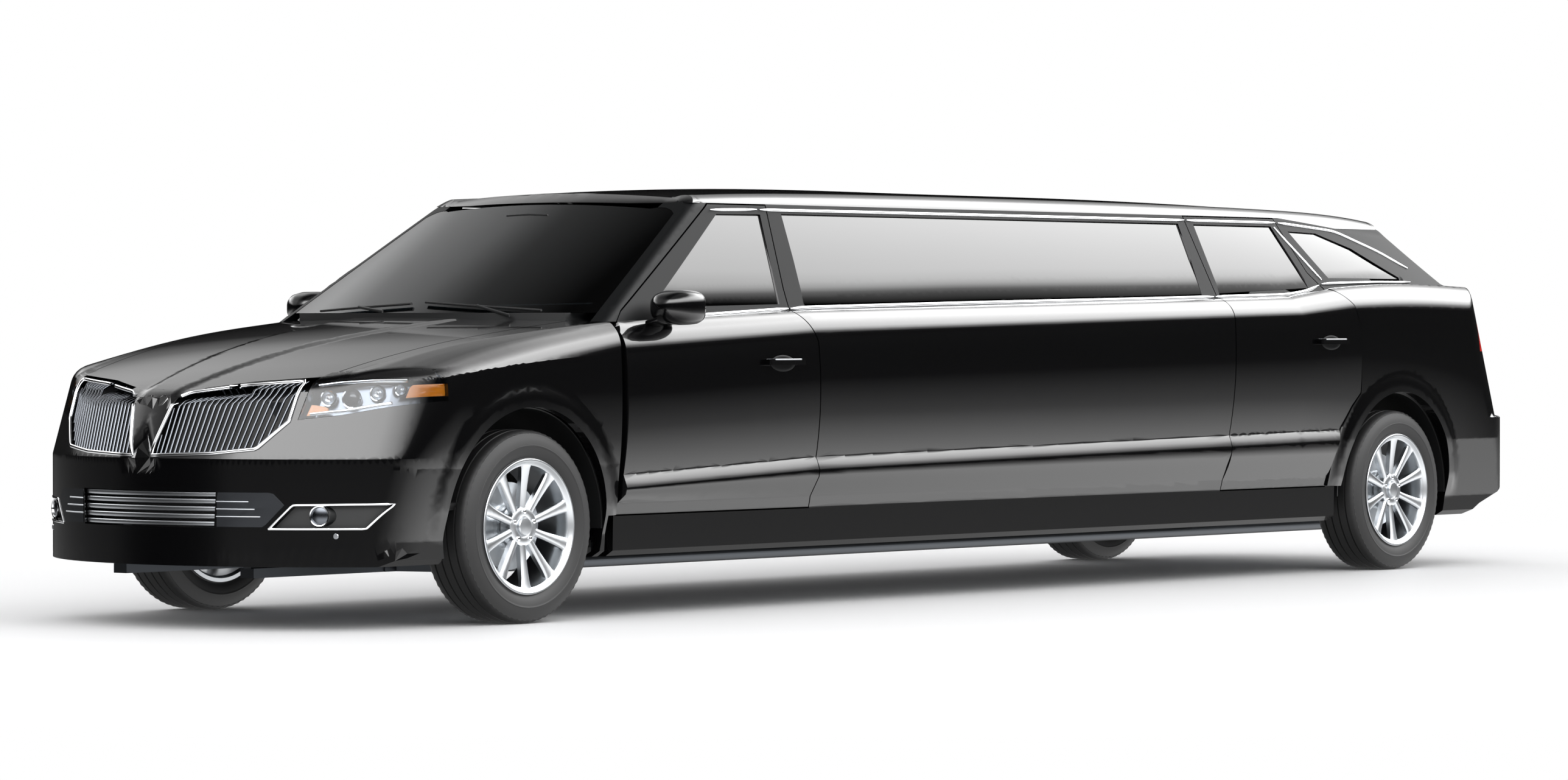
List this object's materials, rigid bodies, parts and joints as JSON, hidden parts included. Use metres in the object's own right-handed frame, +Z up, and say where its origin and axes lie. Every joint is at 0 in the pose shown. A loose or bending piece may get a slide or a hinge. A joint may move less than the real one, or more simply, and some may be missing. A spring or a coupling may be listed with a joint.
{
  "type": "stretch limousine",
  "caption": "Black stretch limousine of wagon form with hinged doors, hood and tailgate, steered front wheels and a hollow lounge cabin",
  "frame": {"origin": "on the ground at the middle of the bounding box", "axes": "+X forward, +Y to the car's left, +Z up"},
  "size_m": [8.321, 2.176, 1.712],
  "materials": {
    "paint": "gloss black clear-coated paint",
    "glass": "dark tinted",
    "chrome": "polished",
    "lamp": "clear lens",
    "tail_lamp": "red lens",
    "tyre": "black rubber",
    "alloy": "bright machined",
    "steel": "dull",
    "iron": "rough",
    "black_plastic": "grained",
    "underbody": "matt underseal",
    "leather": "fine grain",
    "trim": "black"
  },
  "bodies": {
    "chassis": {"side_panels": "paint", "roof": "paint", "front_pillars": "paint", "quarter_panels": "paint", "rear_bumper": "paint", "front_bumper": "paint", "front_fenders": "paint", "side_windows": "glass", "windshield": "glass", "grille": "chrome", "headlamps": "lamp", "fog_lamps": "lamp", "tail_lamps": "tail_lamp", "front_suspension": "steel", "rear_suspension": "steel", "exhaust": "steel", "engine": "iron", "wheel_liners": "black_plastic", "cowl": "black_plastic", "dashboard": "black_plastic", "floor_pan": "underbody", "front_seats": "leather", "lounge_seats": "leather", "partition": "trim"},
    "front_door_left": {"front_door_left": "paint", "front_door_glass_left": "glass", "mirror_left": "paint"},
    "front_door_right": {"front_door_right": "paint", "front_door_glass_right": "glass", "mirror_right": "paint"},
    "rear_door_left": {"rear_door_left": "paint", "rear_door_glass_left": "glass"},
    "rear_door_right": {"rear_door_right": "paint", "rear_door_glass_right": "glass"},
    "hood": {"hood": "paint"},
    "tailgate": {"tailgate": "paint", "tailgate_glass": "glass"},
    "steering_wheel": {"steering_wheel": "black_plastic"},
    "knuckle_left": {"knuckle_left": "steel"},
    "knuckle_right": {"knuckle_right": "steel"},
    "wheel_front_left": {"tyre_front_left": "tyre", "rim_front_left": "alloy"},
    "wheel_front_right": {"tyre_front_right": "tyre", "rim_front_right": "alloy"},
    "wheel_rear_left": {"tyre_rear_left": "tyre", "rim_rear_left": "alloy"},
    "wheel_rear_right": {"tyre_rear_right": "tyre", "rim_rear_right": "alloy"}
  },
  "joints": [
    {"name": "front_door_left", "type": "hinge", "parent": "chassis", "child": "front_door_left", "pos_m": [2.4795, 0.969, 0.75], "axis": [0, 0, -1], "range_deg": [0, 65]},
    {"name": "rear_door_left", "type": "hinge", "parent": "chassis", "child": "rear_door_left", "pos_m": [-1.6355, 0.969, 0.75], "axis": [0, 0, -1], "range_deg": [0, 65]},
    {"name": "steer_left", "type": "hinge", "parent": "chassis", "child": "knuckle_left", "pos_m": [3.0105, 0.716, 0.3705], "axis": [0, 0, 1], "range_deg": [-34, 34]},
    {"name": "spin_front_left", "type": "hinge", "parent": "knuckle_left", "child": "wheel_front_left", "pos_m": [3.0105, 0.825, 0.3705], "axis": [0, 1, 0], "continuous": true},
    {"name": "spin_rear_left", "type": "hinge", "parent": "chassis", "child": "wheel_rear_left", "pos_m": [-3.0325, 0.825, 0.3705], "axis": [0, 1, 0], "continuous": true},
    {"name": "front_door_right", "type": "hinge", "parent": "chassis", "child": "front_door_right", "pos_m": [2.4795, -0.969, 0.75], "axis": [0, 0, 1], "range_deg": [0, 65]},
    {"name": "rear_door_right", "type": "hinge", "parent": "chassis", "child": "rear_door_right", "pos_m": [-1.6355, -0.969, 0.75], "axis": [0, 0, 1], "range_deg": [0, 65]},
    {"name": "steer_right", "type": "hinge", "parent": "chassis", "child": "knuckle_right", "pos_m": [3.0105, -0.716, 0.3705], "axis": [0, 0, 1], "range_deg": [-34, 34]},
    {"name": "spin_front_right", "type": "hinge", "parent": "knuckle_right", "child": "wheel_front_right", "pos_m": [3.0105, -0.825, 0.3705], "axis": [0, 1, 0], "continuous": true},
    {"name": "spin_rear_right", "type": "hinge", "parent": "chassis", "child": "wheel_rear_right", "pos_m": [-3.0325, -0.825, 0.3705], "axis": [0, 1, 0], "continuous": true},
    {"name": "hood", "type": "hinge", "parent": "chassis", "child": "hood", "pos_m": [2.5105, 0, 1.188], "axis": [0, -1, 0], "range_deg": [0, 50]},
    {"name": "tailgate", "type": "hinge", "parent": "chassis", "child": "tailgate", "pos_m": [-3.3945, 0, 1.606], "axis": [0, 1, 0], "range_deg": [0, 75]},
    {"name": "steering_column", "type": "hinge", "parent": "chassis", "child": "steering_wheel", "pos_m": [1.8885, 0.38, 1.033], "axis": [0.9326, 0, -0.361], "range_deg": [-476, 476]}
  ],
  "couplings": [
    {"joint": "steer_right", "follows": "steer_left", "ratio": 1},
    {"joint": "steering_column", "follows": "steer_left", "ratio": 14}
  ]
}
